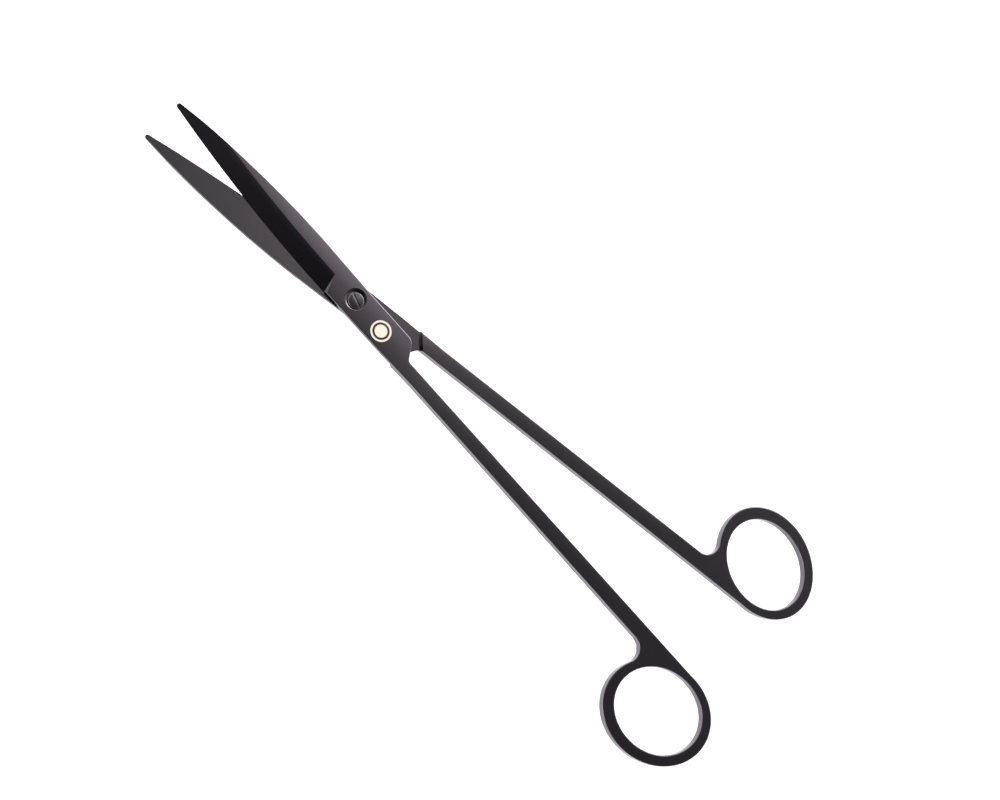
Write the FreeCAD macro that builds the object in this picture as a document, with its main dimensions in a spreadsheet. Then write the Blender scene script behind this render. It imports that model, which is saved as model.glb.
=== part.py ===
import FreeCAD, Part
import math
import os

import Sketcher
from FreeCAD import Placement, Rotation, Vector

# Long scissors for trimming water plants: two flat steel halves, each one plate
# that is blade, tang, handle bar and finger ring in a single piece, turning on a
# slotted screw.  The tangs are half as thick as the handles and lap on each other.
#
# Each half is drawn in its own frame: the screw's axis is at the origin, +X runs
# to the finger ring, -Y is the outer side of the handle, and the plane where the
# two halves meet is at local height 0.  All sizes are in millimetres.

DIMS = {
    "plate_thick": 2.80,        # handle bar and ring
    "lap_clear": 0.10,          # gap between the two tangs
    "open_angle": 10.35,        # degrees between the handles as stored
    # blade outline
    "tip_reach": 76.90,
    "tip_upper": 0.62,
    "tip_lower": 0.80,
    "tip_round": 0.75,
    "spine_top_back": 20.00,
    "spine_top": 5.37,
    "spine_round": 340.0,
    "edge_root_back": 7.40,
    "edge_root": 5.35,
    "edge_round": 500.0,
    # tang outline
    "tang_spine_x": 2.00,
    "tang_spine": 4.92,
    "nose_round": 3.00,
    "nose_top_x": 18.63,
    "nose_end_x": 21.09,
    "nose_end": 3.64,
    "crotch_top_x": 23.49,
    "crotch_top": 0.212,
    "crotch_bar_x": 24.80,
    "crotch_round": 1.60,
    "tang_outer_x": 15.00,
    "tang_outer": 5.30,
    # handle bar
    "bar_inner": 0.47,
    "bar_start_x": 30.00,
    "bar_start": 4.95,
    "shoulder_outer_x": 20.70,
    "shoulder_outer": 5.16,
    "shoulder_inner_x": 24.30,
    "shoulder_lean": 0.52,      # run of the ramp for each millimetre of height
    "bar_end_x": 155.0,
    "bar_end": 5.74,
    "web_round": 4.50,
    # finger ring
    "ring_x": 153.2,
    "ring_y": 16.57,
    "ring_major": 18.6,
    "ring_minor": 15.75,
    "ring_turn": 22.0,
    "hole_y": 16.02,
    "hole_major": 15.0,
    "hole_minor": 12.75,
    "hole_turn": 19.0,
    "rim_round": 0.31,
    # ground bevel of the blade
    "bevel_width": 5.42,
    "ridge_round": 9.00,        # soft upper border of the bevel
    "ridge_run": 0.88,
    "bevel_edge_thick": 0.16,
    "bevel_sweep": 10.0,        # degrees about the centre of the cutting edge's arc
    "bevel_lead": 0.5,          # degrees by which the cut starts inside the ricasso
    "plunge_top_back": 10.10,
    "plunge_top": 0.95,
    "plunge_lean": 0.60,        # run of the ramp for each millimetre of height
    # pivot
    "shank_radius": 1.60,
    "shank_clear": 0.05,
    "head_radius": 2.50,
    "head_thick": 0.74,
    "counterbore_radius": 3.00,
    "counterbore_deep": 0.80,
    "sink_radius": 3.45,        # shallow cone round the counterbore, set off towards the blade
    "sink_slope": 14.0,
    "sink_off": 0.34,
    "sink_turn": 148.0,
    "slot_width": 0.85,
    "slot_deep": 0.40,
    "slot_turn": -28.6,
    "head_edge_round": 0.30,
}

doc = FreeCAD.newDocument("Scissors")
sheet = doc.addObject("Spreadsheet::Sheet", "Dims")
for row, (alias, value) in enumerate(DIMS.items(), start=1):
    sheet.set("A%d" % row, alias)
    sheet.set("B%d" % row, str(value))
    sheet.setAlias("B%d" % row, alias)
doc.recompute()


def value(term):
    """Value of a signed cell name such as "-tip_reach"."""
    if term.startswith("-"):
        return -DIMS[term[1:]]
    return DIMS[term]


def formula(term):
    """Expression of a signed cell name."""
    if term.startswith("-"):
        return "-Dims." + term[1:]
    return "Dims." + term


def origin_plane(body, role):
    for feature in body.Origin.OriginFeatures:
        if feature.Role == role:
            return feature
    raise RuntimeError("no " + role)


def new_sketch(body, name, role="XY_Plane", height=None):
    """Sketch on one of the body's origin planes, raised by a height expression."""
    sketch = body.newObject("Sketcher::SketchObject", name)
    sketch.AttachmentSupport = [(origin_plane(body, role), "")]
    sketch.MapMode = "FlatFace"
    if height:
        sketch.setExpression("AttachmentOffset.Base.z", height)
    return sketch


def pin_point(sketch, geometry, position, point):
    """Hold one end of an edge at the coordinates in the sheet."""
    for kind, term in (("DistanceX", point[0]), ("DistanceY", point[1])):
        number = value(term)
        index = sketch.addConstraint(
            Sketcher.Constraint(kind, -1, 1, geometry, position, number))
        sketch.setExpression("Constraints[%d]" % index, formula(term))


def arc_between(start, end, radius, outward):
    """Arc from start to end; outward arcs bulge to the right of the way from start to end."""
    chord = end - start
    middle = (start + end) * 0.5
    left = Vector(-chord.y, chord.x, 0).normalize()
    depth = math.sqrt(radius ** 2 - (chord.Length / 2) ** 2)
    centre = middle + left * (depth if outward else -depth)
    first, last = (start, end) if outward else (end, start)
    angles = [math.atan2(p.y - centre.y, p.x - centre.x) for p in (first, last)]
    if angles[1] < angles[0]:
        angles[1] += 2 * math.pi
    circle = Part.Circle(centre, Vector(0, 0, 1), radius)
    return Part.ArcOfCircle(circle, angles[0], angles[1])


def closed_outline(sketch, corners):
    """Closed loop, counter-clockwise.  A corner is (x, y) or (x, y, radius cell, outward)
    where the last two describe the arc that leaves it."""
    count = len(corners)
    points = [Vector(value(c[0]), value(c[1]), 0) for c in corners]
    ends = []
    for index, corner in enumerate(corners):
        start = points[index]
        end = points[(index + 1) % count]
        if len(corner) == 2:
            edge = sketch.addGeometry(Part.LineSegment(start, end), False)
            ends.append((edge, 1, 2))
            continue
        radius, outward = corner[2], corner[3]
        edge = sketch.addGeometry(arc_between(start, end, value(radius), outward), False)
        ends.append((edge, 1, 2) if outward else (edge, 2, 1))
    for index, corner in enumerate(corners):
        edge, first, last = ends[index]
        following, next_first, _ = ends[(index + 1) % count]
        sketch.addConstraint(Sketcher.Constraint("Coincident", edge, last, following, next_first))
        pin_point(sketch, edge, first, corner)
    for index, corner in enumerate(corners):
        if len(corner) == 4:
            bound = sketch.addConstraint(
                Sketcher.Constraint("Radius", ends[index][0], value(corner[2])))
            sketch.setExpression("Constraints[%d]" % bound, formula(corner[2]))


def pad(body, sketch, name, length, both_sides=False):
    feature = body.newObject("PartDesign::Pad", name)
    feature.Profile = sketch
    feature.setExpression("Length", length)
    if both_sides:
        feature.Midplane = True
    body.Tip = feature
    doc.recompute()
    return feature


def cut_through(body, sketch, name, least):
    """Pocket right through the body both ways; least is the volume it must remove."""
    before = body.Shape.Volume
    pocket = body.newObject("PartDesign::Pocket", name)
    pocket.Profile = sketch
    pocket.Type = 1
    pocket.Midplane = True
    body.Tip = pocket
    doc.recompute()
    if body.Shape.Volume > before - least:
        raise RuntimeError(name + " cut too little")


def oval(sketch, side, major, minor, turn):
    """Full ellipse of the ring, tilted by the turn cell; side is how far out its centre lies."""
    centre = Vector(DIMS["ring_x"], -DIMS[side], 0)
    angle = math.radians(DIMS[turn])
    along = Vector(math.cos(angle), math.sin(angle), 0)
    across = Vector(-math.sin(angle), math.cos(angle), 0)
    ellipse = Part.Ellipse(centre + along * DIMS[major], centre + across * DIMS[minor], centre)
    edge = sketch.addGeometry(ellipse, False)
    sketch.exposeInternalGeometry(edge)
    pin_point(sketch, edge, 3, ("ring_x", "-" + side))
    for line, cell in ((edge + 1, major), (edge + 2, minor)):
        bound = sketch.addConstraint(Sketcher.Constraint("Distance", line, 2 * DIMS[cell]))
        sketch.setExpression("Constraints[%d]" % bound, "2 * Dims." + cell)
    bound = sketch.addConstraint(Sketcher.Constraint("Angle", edge + 1, angle))
    sketch.setExpression("Constraints[%d]" % bound, "Dims.%s * 1 deg" % turn)


LAP_OUTLINE = [
    ("bar_start_x", "-bar_start"),
    ("bar_start_x", "-bar_inner"),
    ("crotch_bar_x", "-bar_inner", "crotch_round", False),
    ("crotch_top_x", "crotch_top"),
    ("nose_end_x", "nose_end", "nose_round", True),
    ("nose_top_x", "tang_spine"),
    ("tang_spine_x", "tang_spine"),
    ("-spine_top_back", "spine_top", "spine_round", True),
    ("-tip_reach", "tip_upper", "tip_round", True),
    ("-tip_reach", "-tip_lower", "edge_round", True),
    ("-edge_root_back", "-edge_root"),
    ("tang_outer_x", "-tang_outer"),
]
BAR_OUTLINE = [
    ("shoulder_outer_x", "-shoulder_outer"),
    ("bar_start_x", "-bar_start"),
    ("bar_end_x", "-bar_end"),
    ("bar_end_x", "-bar_inner"),
    ("shoulder_inner_x", "-bar_inner"),
]


def edge_arc_centre():
    start = Vector(-DIMS["tip_reach"], -DIMS["tip_lower"], 0)
    end = Vector(-DIMS["edge_root_back"], -DIMS["edge_root"], 0)
    return arc_between(start, end, DIMS["edge_round"], True).Center


def grind_bevel(body, label):
    """Cut the bevel with a conical body that follows the cutting edge and stops at the plunge."""
    wheel = doc.addObject("PartDesign::Body", label + "_bevel_cutter")
    centre = edge_arc_centre()
    sketch = new_sketch(wheel, label + "_bevel_profile", "YZ_Plane")
    start = Rotation(Vector(0, 1, 0), DIMS["bevel_lead"])
    sketch.AttachmentOffset = Placement(Vector(centre.y, 0, centre.x), start)
    top = DIMS["plate_thick"] / 2
    edge_height = DIMS["lap_clear"] / 2 + DIMS["bevel_edge_thick"]
    slope = (top - edge_height) / DIMS["bevel_width"]
    corner = -(DIMS["edge_round"] - DIMS["bevel_width"])
    outer = -(DIMS["edge_round"] + 2.0)
    foot = Vector(corner - DIMS["ridge_run"], top - DIMS["ridge_run"] * slope, 0)
    radius = DIMS["ridge_round"]
    into = Vector(slope, -1, 0).normalize()
    middle = foot + into * radius
    reach = math.sqrt(radius ** 2 - (top - middle.y) ** 2)
    inner = middle.x + reach
    corners = [Vector(inner, top, 0), Vector(inner, top + 1, 0), Vector(outer, top + 1, 0),
               Vector(outer, edge_height - 2.0 * slope, 0), foot]
    for index in range(4):
        sketch.addGeometry(Part.LineSegment(corners[index], corners[index + 1]), False)
    circle = Part.Circle(middle, Vector(0, 0, 1), radius)
    start = math.atan2(top - middle.y, reach)
    end = math.atan2(foot.y - middle.y, foot.x - middle.x)
    ridge = sketch.addGeometry(Part.ArcOfCircle(circle, start, end), False)
    for index in range(3):
        sketch.addConstraint(Sketcher.Constraint("Coincident", index, 2, index + 1, 1))
    sketch.addConstraint(Sketcher.Constraint("Coincident", 3, 2, ridge, 2))
    sketch.addConstraint(Sketcher.Constraint("Coincident", ridge, 1, 0, 1))
    bound = sketch.addConstraint(Sketcher.Constraint("DistanceX", 3, 2, -1, 1, -foot.x))
    sketch.setExpression("Constraints[%d]" % bound,
                         "Dims.edge_round - Dims.bevel_width + Dims.ridge_run")
    bound = sketch.addConstraint(Sketcher.Constraint("Radius", ridge, radius))
    sketch.setExpression("Constraints[%d]" % bound, "Dims.ridge_round")
    bound = sketch.addConstraint(Sketcher.Constraint("DistanceY", -1, 1, 0, 1, top))
    sketch.setExpression("Constraints[%d]" % bound, "Dims.plate_thick / 2")
    ring = wheel.newObject("PartDesign::Revolution", label + "_bevel_cone")
    ring.Profile = sketch
    ring.ReferenceAxis = (sketch, ["V_Axis"])
    ring.setExpression("Angle", "Dims.bevel_sweep * 1 deg")
    ring.Reversed = True
    wheel.Tip = ring
    doc.recompute()
    lean = DIMS["plunge_lean"]
    outer = Vector(-DIMS["edge_root_back"], -DIMS["edge_root"], 0)
    inner = Vector(-DIMS["plunge_top_back"], DIMS["plunge_top"], 0)
    profile = [(0, top), (-lean * (top + 1), -1), (12, -1), (12, top + 2), (0, top + 2)]
    ramp_cut(wheel, label + "_plunge", outer, inner, profile, 1)
    before = body.Shape.Volume
    bevel = body.newObject("PartDesign::Boolean", label + "_bevel")
    bevel.setObjects([wheel])
    bevel.Type = "Cut"
    body.Tip = bevel
    doc.recompute()
    if body.Shape.Volume > before - 100:
        raise RuntimeError("the bevel of %s cut too little" % label)


def ramp_cut(body, name, outer, inner, profile, least):
    """Cut a prism that runs along the line from outer to inner; profile is (across, up)."""
    along = inner - outer
    middle = (inner + outer) * 0.5
    turn = math.degrees(math.atan2(along.y, along.x)) - 90
    sketch = new_sketch(body, name + "_profile", "XZ_Plane")
    sketch.AttachmentOffset = Placement(Vector(middle.x, 0, -middle.y),
                                        Rotation(Vector(0, 1, 0), turn))
    corners = [Vector(across, up, 0) for across, up in profile]
    count = len(corners)
    for index in range(count):
        sketch.addGeometry(Part.LineSegment(corners[index], corners[(index + 1) % count]), False)
    for index in range(count):
        ahead = (index + 1) % count
        sketch.addConstraint(Sketcher.Constraint("Coincident", index, 2, ahead, 1))
    cut_through(body, sketch, name, least)


def lean_shoulder(body, label):
    """Cut the wall that ends the lap back to a short steep ramp."""
    outer = Vector(DIMS["shoulder_outer_x"], -DIMS["shoulder_outer"], 0)
    inner = Vector(DIMS["shoulder_inner_x"], -DIMS["bar_inner"], 0)
    deep = DIMS["plate_thick"] / 2 + 0.5
    wide = DIMS["shoulder_lean"] * deep
    ramp_cut(body, label + "_shoulder", outer, inner, [(0, 0), (0, -deep), (wide, -deep)], 0.5)


def round_edges(body, name, radius, wanted):
    """Fillet the edges for which wanted(edge) holds."""
    names = ["Edge%d" % number for number, edge in enumerate(body.Shape.Edges, start=1)
             if wanted(edge)]
    if not names:
        raise RuntimeError("no edges for " + name)
    base = body.Tip
    fillet = body.newObject("PartDesign::Fillet", name)
    fillet.Base = (base, names)
    fillet.setExpression("Radius", radius)
    body.Tip = fillet
    doc.recompute()


def web_corner(edge):
    """Upright inside corner where the bar's outer side meets the ring."""
    box = edge.BoundBox
    upright = box.XLength < 0.01 and box.YLength < 0.01
    return upright and 135 < box.XMin < 147 and -7.5 < box.YMin < -5


def handle_rim(edge):
    """Edge of the bar or ring on one of the two broad faces."""
    box = edge.BoundBox
    level = abs(abs(box.ZMin) - DIMS["plate_thick"] / 2) < 1e-3 and box.ZLength < 1e-3
    return level and box.XMin > DIMS["crotch_bar_x"] - 0.5 and box.XLength > 0.5


def tang_rim(edge):
    """Outer edge of the tang on the broad face."""
    box = edge.BoundBox
    level = abs(box.ZMin - DIMS["plate_thick"] / 2) < 1e-3 and box.ZLength < 1e-3
    near = box.XMax < DIMS["bar_start_x"] + 0.1 and box.XMin > -DIMS["edge_root_back"] - 0.1
    return level and near and box.YMax < -DIMS["bar_start"] + 0.01


def make_half(name):
    body = doc.addObject("PartDesign::Body", name)
    body.Label = name
    lap = "Dims.plate_thick / 2 - Dims.lap_clear / 2"
    sketch = new_sketch(body, name + "_lap_outline", height="Dims.lap_clear / 2")
    closed_outline(sketch, LAP_OUTLINE)
    pad(body, sketch, name + "_lap", lap)
    sketch = new_sketch(body, name + "_bar_outline")
    closed_outline(sketch, BAR_OUTLINE)
    pad(body, sketch, name + "_bar", "Dims.plate_thick", both_sides=True)
    lean_shoulder(body, name)
    sketch = new_sketch(body, name + "_ring_outline")
    oval(sketch, "ring_y", "ring_major", "ring_minor", "ring_turn")
    pad(body, sketch, name + "_ring", "Dims.plate_thick", both_sides=True)
    round_edges(body, name + "_web", "Dims.web_round", web_corner)
    sketch = new_sketch(body, name + "_hole_outline")
    oval(sketch, "hole_y", "hole_major", "hole_minor", "hole_turn")
    cut_through(body, sketch, name + "_finger_hole", 1000)
    round_edges(body, name + "_rims", "Dims.rim_round",
                lambda edge: handle_rim(edge) or tang_rim(edge))
    grind_bevel(body, name)
    return body


def drill(body, name, radius, depth=None):
    """Round hole on the screw's axis, right through or down from the outer face."""
    sketch = new_sketch(body, name + "_circle", height="Dims.plate_thick / 2")
    circle = sketch.addGeometry(Part.Circle(Vector(0, 0, 0), Vector(0, 0, 1), 1.0), False)
    sketch.addConstraint(Sketcher.Constraint("Coincident", circle, 3, -1, 1))
    bound = sketch.addConstraint(Sketcher.Constraint("Radius", circle, 1.0))
    sketch.setExpression("Constraints[%d]" % bound, radius)
    if not depth:
        cut_through(body, sketch, name, 3)
        return
    before = body.Shape.Volume
    pocket = body.newObject("PartDesign::Pocket", name)
    pocket.Profile = sketch
    pocket.setExpression("Length", depth)
    body.Tip = pocket
    doc.recompute()
    if body.Shape.Volume > before - 5:
        raise RuntimeError(name + " cut too little")


def sink(body, name):
    """Shallow cone round the counterbore, its axis a little towards the blade."""
    deep = 0.25
    over = 0.20
    turn = math.radians(DIMS["sink_turn"])
    cone = body.newObject("PartDesign::SubtractiveCone", name)
    spread = "Dims.sink_radius %+.2f / tan(Dims.sink_slope * 1 deg)"
    cone.setExpression("Radius1", spread % -deep)
    cone.setExpression("Radius2", spread % over)
    cone.Height = deep + over
    cone.Placement = Placement(Vector(DIMS["sink_off"] * math.cos(turn),
                                      DIMS["sink_off"] * math.sin(turn),
                                      DIMS["plate_thick"] / 2 - deep), Rotation())
    before = body.Shape.Volume
    body.Tip = cone
    doc.recompute()
    if body.Shape.Volume > before - 0.5:
        raise RuntimeError(name + " cut too little")


def make_screw(name):
    """Slotted screw whose head sits in the front half and whose shank is held in the rear half."""
    body = doc.addObject("PartDesign::Body", name)
    body.Label = name
    seat = "Dims.plate_thick / 2 - Dims.counterbore_deep"
    length = "Dims.plate_thick - Dims.counterbore_deep"
    for part, radius, size, upward in (("shank", "shank_radius", length, False),
                                       ("head", "head_radius", "Dims.head_thick", True)):
        sketch = new_sketch(body, "%s_%s_circle" % (name, part), height=seat)
        circle = sketch.addGeometry(Part.Circle(Vector(0, 0, 0), Vector(0, 0, 1), 1.0), False)
        sketch.addConstraint(Sketcher.Constraint("Coincident", circle, 3, -1, 1))
        bound = sketch.addConstraint(Sketcher.Constraint("Radius", circle, 1.0))
        sketch.setExpression("Constraints[%d]" % bound, "Dims." + radius)
        feature = pad(body, sketch, "%s_%s" % (name, part), size)
        feature.Reversed = not upward
        doc.recompute()
    top = DIMS["plate_thick"] / 2 - DIMS["counterbore_deep"] + DIMS["head_thick"]

    def head_rim(edge):
        return abs(edge.BoundBox.ZMin - top) < 1e-3 and edge.BoundBox.ZLength < 1e-3

    round_edges(body, name + "_head_rim", "Dims.head_edge_round", head_rim)
    sketch = new_sketch(body, name + "_slot_outline",
                        height=seat + " + Dims.head_thick - Dims.slot_deep")
    half_long = DIMS["head_radius"] + 1.0
    half_wide = DIMS["slot_width"] / 2
    turn = Rotation(Vector(0, 0, 1), DIMS["slot_turn"])
    corners = [turn.multVec(Vector(x, y, 0)) for x, y in (
        (-half_long, -half_wide), (half_long, -half_wide),
        (half_long, half_wide), (-half_long, half_wide))]
    for index in range(4):
        sketch.addGeometry(Part.LineSegment(corners[index], corners[(index + 1) % 4]), False)
    for index in range(4):
        sketch.addConstraint(Sketcher.Constraint("Coincident", index, 2, (index + 1) % 4, 1))
    slot = body.newObject("PartDesign::Pocket", name + "_slot")
    slot.Profile = sketch
    slot.Reversed = True
    slot.setExpression("Length", "Dims.slot_deep + 1")
    before = body.Shape.Volume
    body.Tip = slot
    doc.recompute()
    if body.Shape.Volume > before - 1:
        raise RuntimeError("the slot cut too little")
    return body


front = make_half("front_half")
drill(front, "front_half_counterbore", "Dims.counterbore_radius", "Dims.counterbore_deep")
sink(front, "front_half_sink")
drill(front, "front_half_pivot_hole", "Dims.shank_radius + Dims.shank_clear")
rear = make_half("rear_half")
drill(rear, "rear_half_thread", "Dims.shank_radius")
screw = make_screw("pivot_screw")

# The stored pose: both halves turned by half the opening from the long axis, the
# rear one upside down, with the lower faces of the handles at height 0.
half_open = DIMS["open_angle"] / 2
meet = Vector(0, 0, DIMS["plate_thick"] / 2)
about_z = Vector(0, 0, 1)
front.Placement = Placement(meet, Rotation(about_z, -half_open))
flip = Rotation(Vector(1, 0, 0), 180)
rear.Placement = Placement(meet, Rotation(about_z, half_open).multiply(flip))
screw.Placement = Placement(meet, Rotation(about_z, half_open))
for body in (front, rear, screw):
    body.setExpression("Placement.Base.z", "Dims.plate_thick / 2")
doc.recompute()

for item in doc.Objects:
    if "Invalid" in item.State or "Error" in item.State:
        raise RuntimeError("%s is in state %s" % (item.Name, item.State))
os.makedirs("parts", exist_ok=True)
for body in (front, rear, screw):
    if body.Shape.isNull() or not body.Shape.isValid():
        raise RuntimeError(body.Label + " has no valid shape")
    print(body.Label, "volume", round(body.Shape.Volume, 2), "solids", len(body.Shape.Solids),
          "box", body.Shape.BoundBox)
    body.Shape.exportStep("parts/%s.step" % body.Label)
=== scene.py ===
import math

import bpy
from mathutils import Matrix, Vector


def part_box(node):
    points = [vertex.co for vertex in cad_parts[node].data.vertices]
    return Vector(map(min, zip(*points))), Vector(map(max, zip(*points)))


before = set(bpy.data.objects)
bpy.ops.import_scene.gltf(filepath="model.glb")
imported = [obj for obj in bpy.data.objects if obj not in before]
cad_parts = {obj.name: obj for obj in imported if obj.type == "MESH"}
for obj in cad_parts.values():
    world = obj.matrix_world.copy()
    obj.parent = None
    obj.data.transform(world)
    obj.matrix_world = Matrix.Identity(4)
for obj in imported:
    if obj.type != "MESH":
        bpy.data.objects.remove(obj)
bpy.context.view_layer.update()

MM = 0.001

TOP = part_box("front_half")[1].z
HEAD_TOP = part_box("pivot_screw")[1].z
HALF_OPEN = math.radians(5.175)         # each half is turned by this much at rest

# curvatures of the polished faces, in 1/m
CROWN = 13.0
HEAD_DOME = 42.0

# etched mark on the front tang, in the half's own axes
MARK_CENTRE = (11.7 * MM, -0.7 * MM, 0)
MARK_DISC = 2.0 * MM
MARK_RING_INNER = 2.7 * MM
MARK_RING_OUTER = 3.3 * MM
MARK_SOFT = 0.05 * MM

# stretch of each half in which the shoulder lies, and how steep its face is; the painted shade goes
# on that face
SHOULDER_START = 18 * MM
SHOULDER_END = 28 * MM
SHOULDER_FACING = -0.45

FLOOR_HEIGHT = -0.11                    # the tool is held well above the floor
FLOOR_HALF = 6.0

# brightness of the room by nearness to the dark side, from 0 (square to it) to 1
DARK_SIDE = (0.20, -0.16, 0.967)
ROOM_LEVELS = ((0.17, 0.95), (0.42, 0.7), (0.64, 0.26), (0.80, 0.08), (0.87, 0.048), (0.966, 0.014))
ROOM_STRENGTH = 4.0
GLOW_STRENGTH = 1.25


# ---------------------------------------------------------------- node helper
class Nodes:
    """Small wrapper that makes nodes and links by name."""

    def __init__(self, tree):
        self.tree = tree
        tree.nodes.clear()

    def add(self, kind, inputs=None, **settings):
        node = self.tree.nodes.new(kind)
        for name, setting in settings.items():
            setattr(node, name, setting)
        for key, source in (inputs or {}).items():
            self.feed(node.inputs[key], source)
        return node

    def feed(self, socket, source):
        if isinstance(source, bpy.types.NodeSocket):
            self.tree.links.new(source, socket)
        else:
            socket.default_value = source

    def math(self, operation, first, second=None, third=None):
        node = self.add("ShaderNodeMath", operation=operation)
        for socket, source in zip(node.inputs, (first, second, third)):
            if source is not None:
                self.feed(socket, source)
        return node.outputs[0]

    def smooth(self, source, low, high):
        node = self.add("ShaderNodeMapRange", {"Value": source, "From Min": low, "From Max": high},
                        interpolation_type="SMOOTHSTEP", clamp=True)
        return node.outputs["Result"]

    def mix(self, factor, first, second):
        node = self.add("ShaderNodeMix", data_type="RGBA")
        self.feed(node.inputs["Factor"], factor)
        self.feed(node.inputs["A"], first)
        self.feed(node.inputs["B"], second)
        return node.outputs["Result"]

    def noise(self, vector, scale, detail=2.0, rough=0.5):
        node = self.add("ShaderNodeTexNoise",
                        {"Vector": vector, "Scale": scale, "Detail": detail, "Roughness": rough})
        return node.outputs["Fac"]

    def stretched(self, vector, scale):
        node = self.add("ShaderNodeVectorMath", {0: vector, 1: scale}, operation="MULTIPLY")
        return node.outputs["Vector"]

    def dot(self, first, second):
        node = self.add("ShaderNodeVectorMath", {0: first, 1: second}, operation="DOT_PRODUCT")
        return node.outputs["Value"]

    def length(self, vector):
        return self.add("ShaderNodeVectorMath", {0: vector}, operation="LENGTH").outputs["Value"]

    def band(self, source, low, high):
        above = self.math("GREATER_THAN", source, low)
        return self.math("MULTIPLY", above, self.math("LESS_THAN", source, high))

    def inverse(self, source):
        return self.math("SUBTRACT", 1.0, source)


def coated_steel(name, turn, mark):
    """Black coated, ground steel.  turn brings the half's own length onto X."""
    material = bpy.data.materials.new(name)
    material.use_nodes = True
    n = Nodes(material.node_tree)
    out = n.add("ShaderNodeOutputMaterial")
    shader = n.add("ShaderNodeBsdfPrincipled")
    n.feed(out.inputs["Surface"], shader.outputs["BSDF"])
    coordinates = n.add("ShaderNodeTexCoord")
    own = n.add("ShaderNodeVectorRotate", {"Vector": coordinates.outputs["Object"], "Angle": turn},
                rotation_type="Z_AXIS").outputs["Vector"]
    place = n.add("ShaderNodeSeparateXYZ", {"Vector": own}).outputs
    normal = n.add("ShaderNodeSeparateXYZ", {"Vector": coordinates.outputs["Normal"]}).outputs

    # where the surface faces: broad faces, the ground bevel, the lapped inner faces
    up = n.math("ABSOLUTE", normal["Z"])
    flat = n.smooth(up, 0.985, 0.997)
    tilted = n.math("MULTIPLY", n.smooth(up, 0.93, 0.96), n.inverse(flat))
    off_middle = n.math("ABSOLUTE", n.math("SUBTRACT", place["Z"], TOP / 2))
    inner = n.math("MULTIPLY", flat, n.math("LESS_THAN", off_middle, 0.15 * MM))

    # grain: fine lines along the half, coarser cloudy unevenness from hand finishing
    lines = n.noise(n.stretched(own, (60.0, 2600.0, 2600.0)), 1.0, 3.0, 0.6)
    across = n.noise(n.stretched(own, (2400.0, 70.0, 70.0)), 1.0, 3.0, 0.6)
    cloud = n.noise(own, 120.0, 3.0, 0.55)
    grain = n.mix(tilted, lines, across)

    # wear and painted highlight: the edges are painted brighter, partly as coating rubbed through
    # on the edges and partly as a painted highlight along them
    rounded = n.add("ShaderNodeBevel", {"Radius": 0.22 * MM}, samples=4).outputs["Normal"]
    geometry = n.add("ShaderNodeNewGeometry").outputs["Normal"]
    edge = n.smooth(n.inverse(n.dot(rounded, geometry)), 0.02, 0.2)
    patchy = n.smooth(n.noise(own, 420.0, 4.0, 0.65), 0.42, 0.62)
    wear_and_edge_highlight = n.math("MULTIPLY", edge, n.math("MULTIPLY_ADD", patchy, 0.5, 0.2))

    coat = n.mix(cloud, (0.108, 0.0985, 0.110, 1), (0.118, 0.1075, 0.120, 1))
    coat = n.mix(n.math("MULTIPLY", inner, 0.3), coat, (0.17, 0.158, 0.168, 1))
    # painted shade: the shoulder's ramp, which faces the blade, is painted nearly black to stand
    # for the shade there, but stays as smooth as the rest
    ramp = n.math("MULTIPLY", n.smooth(up, 0.45, 0.55),
                  n.math("LESS_THAN", normal["X"], SHOULDER_FACING))
    painted_shoulder_shade = n.math("MULTIPLY", ramp, n.band(place["X"], SHOULDER_START, SHOULDER_END))
    coat = n.mix(painted_shoulder_shade, coat, (0.0025, 0.0023, 0.0025, 1))
    colour = n.mix(wear_and_edge_highlight, coat, (0.30, 0.29, 0.29, 1))
    rough = n.math("MULTIPLY_ADD", cloud, 0.04, 0.12)
    rough = n.math("MULTIPLY_ADD", lines, 0.03, rough)
    if mark:
        offset = n.add("ShaderNodeVectorMath", {0: own, 1: mark}, operation="SUBTRACT")
        radius = n.length(n.stretched(offset.outputs["Vector"], (1.0, 1.0, 0.0)))

        def outside(edge_radius):
            return n.smooth(radius, edge_radius - MARK_SOFT, edge_radius + MARK_SOFT)

        disc = n.inverse(outside(MARK_DISC))
        ring = n.math("MULTIPLY", outside(MARK_RING_INNER), n.inverse(outside(MARK_RING_OUTER)))
        etched = n.math("MULTIPLY", n.math("ADD", disc, ring),
                        n.math("GREATER_THAN", place["Z"], TOP - 0.1 * MM))
        colour = n.mix(etched, colour, (0.62, 0.53, 0.44, 1))
        rough = n.math("MAXIMUM", rough, n.math("MULTIPLY", etched, 0.6))
        n.feed(shader.inputs["Metallic"], n.math("MULTIPLY_ADD", etched, -0.8, 1.0))
    else:
        shader.inputs["Metallic"].default_value = 1.0
    n.feed(shader.inputs["Base Color"], colour)
    n.feed(shader.inputs["Roughness"], rough)

    # hand polishing leaves the broad faces very slightly crowned across their width
    side = 1.0 if turn > 0 else -1.0
    middle = n.math("MULTIPLY", n.smooth(place["X"], 8 * MM, 34 * MM), -2.8 * MM * side)
    across_middle = n.math("SUBTRACT", place["Y"], middle)
    upper = n.math("MULTIPLY_ADD", n.math("GREATER_THAN", across_middle, 0.0), 0.6, 0.4)
    crown = n.math("MULTIPLY", n.math("MULTIPLY", across_middle, across_middle), -0.5 * CROWN)
    crown = n.math("MULTIPLY", crown, upper)
    crown = n.math("MULTIPLY", crown, n.inverse(n.smooth(place["X"], 112 * MM, 130 * MM)))
    crown = n.math("MULTIPLY", crown, n.inverse(inner))
    dome = n.add("ShaderNodeBump", {"Height": crown, "Strength": 1.0, "Distance": 1.0})
    bump = n.add("ShaderNodeBump", {"Height": grain, "Strength": 0.10, "Distance": 0.006 * MM,
                                    "Normal": dome.outputs["Normal"]})
    n.feed(shader.inputs["Normal"], bump.outputs["Normal"])
    return material


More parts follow.
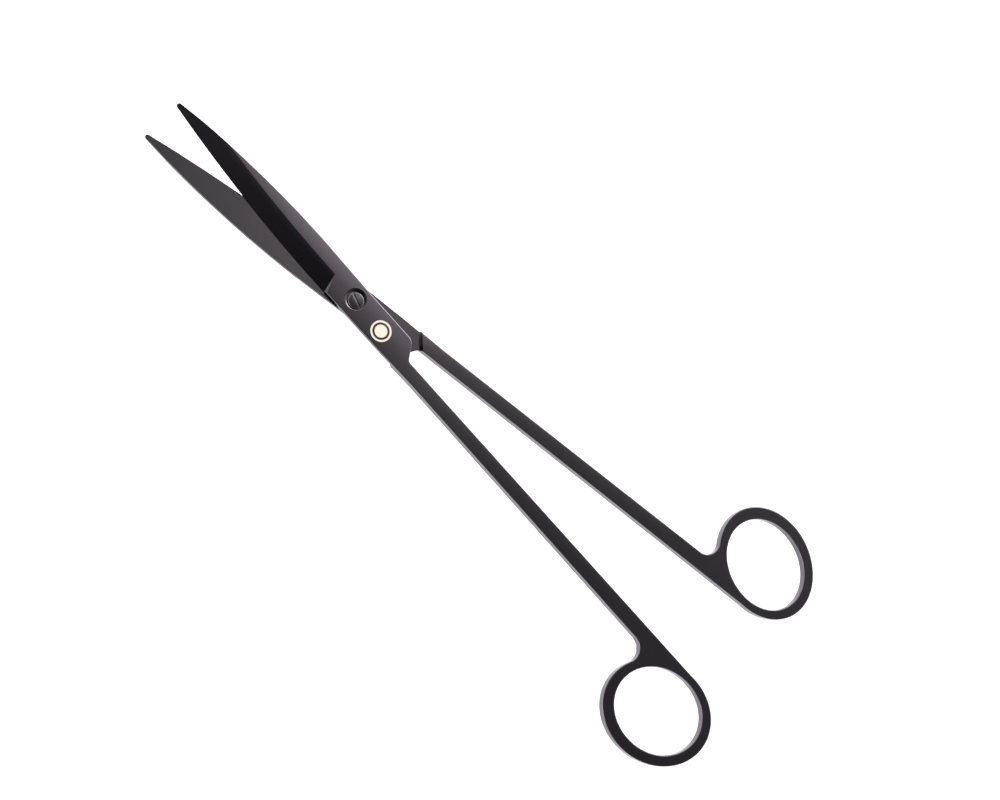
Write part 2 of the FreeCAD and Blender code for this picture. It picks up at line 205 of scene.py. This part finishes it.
def screw_steel(name):
    """Much the same coating on a turned, domed head, with a painted highlight on the slot's floor.
    """
    material = bpy.data.materials.new(name)
    material.use_nodes = True
    n = Nodes(material.node_tree)
    out = n.add("ShaderNodeOutputMaterial")
    shader = n.add("ShaderNodeBsdfPrincipled")
    n.feed(out.inputs["Surface"], shader.outputs["BSDF"])
    coordinates = n.add("ShaderNodeTexCoord")
    place = coordinates.outputs["Object"]
    height = n.add("ShaderNodeSeparateXYZ", {"Vector": place}).outputs["Z"]
    up = n.add("ShaderNodeSeparateXYZ", {"Vector": coordinates.outputs["Normal"]}).outputs["Z"]
    radius = n.length(n.stretched(place, (1.0, 1.0, 0.0)))
    turned = n.math("SINE", n.math("MULTIPLY", radius, 2 * math.pi / (0.13 * MM)))
    scuffs = n.noise(place, 1500.0, 4.0, 0.6)
    # painted highlight: the slot's floor is painted brighter, standing in for the light it catches
    floor = n.math("MULTIPLY", n.math("GREATER_THAN", up, 0.9),
                   n.math("LESS_THAN", height, HEAD_TOP - 0.2 * MM))
    painted_slot_floor_highlight = n.math("MULTIPLY", floor, n.math("MULTIPLY_ADD", scuffs, 0.6, 0.5))
    colour = n.mix(scuffs, (0.095, 0.09, 0.095, 1), (0.13, 0.125, 0.13, 1))
    colour = n.mix(painted_slot_floor_highlight, colour, (0.34, 0.33, 0.33, 1))
    n.feed(shader.inputs["Base Color"], colour)
    shader.inputs["Metallic"].default_value = 1.0
    n.feed(shader.inputs["Roughness"], n.math("MULTIPLY_ADD", scuffs, 0.12, 0.14))
    dome = n.math("MULTIPLY", n.math("MULTIPLY", radius, radius), -0.5 * HEAD_DOME)
    domed = n.add("ShaderNodeBump", {"Height": dome, "Strength": 1.0, "Distance": 1.0})
    grain = n.math("MULTIPLY_ADD", turned, 0.3, scuffs)
    bump = n.add("ShaderNodeBump", {"Height": grain, "Strength": 0.2, "Distance": 0.008 * MM,
                                    "Normal": domed.outputs["Normal"]})
    n.feed(shader.inputs["Normal"], bump.outputs["Normal"])
    return material


def dress(node, material):
    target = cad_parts[node]
    target.data.materials.clear()
    target.data.materials.append(material)


dress("front_half", coated_steel("coated_steel_front", HALF_OPEN, MARK_CENTRE))
dress("rear_half", coated_steel("coated_steel_rear", -HALF_OPEN, None))
dress("pivot_screw", screw_steel("screw_steel"))


# ---------------------------------------------------------------- floor, lights, camera
def pale_floor():
    corners = [(x * FLOOR_HALF, y * FLOOR_HALF, FLOOR_HEIGHT)
               for x, y in ((-1, -1), (1, -1), (1, 1), (-1, 1))]
    mesh = bpy.data.meshes.new("floor")
    mesh.from_pydata(corners, [], [(0, 1, 2, 3)])
    floor = bpy.data.objects.new("floor", mesh)
    bpy.context.collection.objects.link(floor)
    material = bpy.data.materials.new("floor_paper")
    material.use_nodes = True
    n = Nodes(material.node_tree)
    out = n.add("ShaderNodeOutputMaterial")
    shader = n.add("ShaderNodeBsdfPrincipled")
    n.feed(out.inputs["Surface"], shader.outputs["BSDF"])
    shader.inputs["Base Color"].default_value = (0.9, 0.9, 0.9, 1)
    shader.inputs["Roughness"].default_value = 0.9
    shader.inputs["Specular IOR Level"].default_value = 0.1
    mesh.materials.append(material)


def soft_room():
    """White low down, darkening towards DARK_SIDE, with a glowing strip on the +Y side."""
    world = bpy.data.worlds.new("soft_room")
    bpy.context.scene.world = world
    world.use_nodes = True
    n = Nodes(world.node_tree)
    out = n.add("ShaderNodeOutputWorld")
    direction = n.add("ShaderNodeTexCoord").outputs["Generated"]
    ramp = n.add("ShaderNodeValToRGB", {"Fac": n.dot(direction, Vector(DARK_SIDE).normalized())})
    stops = ramp.color_ramp
    stops.interpolation = "LINEAR"
    stops.elements[0].position = 0.0
    stops.elements[0].color = (1, 1, 1, 1)
    stops.elements[1].position = 1.0
    stops.elements[1].color = (0.008, 0.008, 0.0105, 1)
    for position, level in ROOM_LEVELS:
        stop = stops.elements.new(position)
        stop.color = (level, level, level * 1.02 + 0.0015, 1)
    part = n.add("ShaderNodeSeparateXYZ", {"Vector": direction}).outputs
    sideways = n.math("ABSOLUTE", n.math("SUBTRACT", part["X"], 0.03))
    glow = n.math("MULTIPLY_ADD", n.inverse(n.smooth(sideways, 0.0, 0.14)), 0.8,
                  n.math("MULTIPLY", n.inverse(n.smooth(sideways, 0.0, 0.36)), 0.25))
    glow = n.math("MULTIPLY", glow, n.smooth(part["Y"], 0.20, 0.56))
    dim = n.add("ShaderNodeBackground", {"Color": ramp.outputs["Color"], "Strength": ROOM_STRENGTH})
    glowing = n.add("ShaderNodeBackground", {"Color": (1.0, 0.97, 0.96, 1),
                                             "Strength": n.math("MULTIPLY", glow, GLOW_STRENGTH)})
    both = n.add("ShaderNodeAddShader", {0: dim.outputs["Background"],
                                         1: glowing.outputs["Background"]})
    n.feed(out.inputs["Surface"], both.outputs["Shader"])


def soft_light(name, direction, distance, size, power):
    data = bpy.data.lights.new(name, "AREA")
    data.shape = "DISK"
    data.size = size
    data.energy = power
    light = bpy.data.objects.new(name, data)
    bpy.context.collection.objects.link(light)
    away = Vector(direction).normalized()
    light.location = away * distance
    light.rotation_euler = away.to_track_quat("Z", "Y").to_euler()


def photo_camera():
    """Nearly overhead, leaning towards the front half's side."""
    tilt = math.radians(22.84)
    azimuth = math.radians(-111.42)
    roll = math.radians(63.23)
    distance = 0.5320
    aim = Vector((0.05258, 0.00891, TOP / 2))
    away = Vector((math.sin(tilt) * math.cos(azimuth), math.sin(tilt) * math.sin(azimuth),
                   math.cos(tilt)))
    forward = -away
    level = forward.cross(Vector((0, 0, 1))).normalized()
    upright = level.cross(forward)
    right = level * math.cos(roll) + upright * math.sin(roll)
    top = right.cross(forward)
    data = bpy.data.cameras.new("camera")
    data.lens = 63.0
    data.sensor_width = 36.0
    data.clip_start = 0.01
    camera = bpy.data.objects.new("camera", data)
    bpy.context.collection.objects.link(camera)
    turn = Matrix((right, top, away)).transposed().to_4x4()
    camera.matrix_world = Matrix.Translation(aim + away * distance) @ turn
    bpy.context.scene.camera = camera


pale_floor()
soft_room()
soft_light("key_light", (0.2, 1.0, 0.55), 1.2, 0.7, 8.0)
soft_light("side_light", (-0.6, -1.0, 0.4), 1.3, 0.8, 6.0)
photo_camera()
bpy.context.scene.view_settings.view_transform = "Standard"
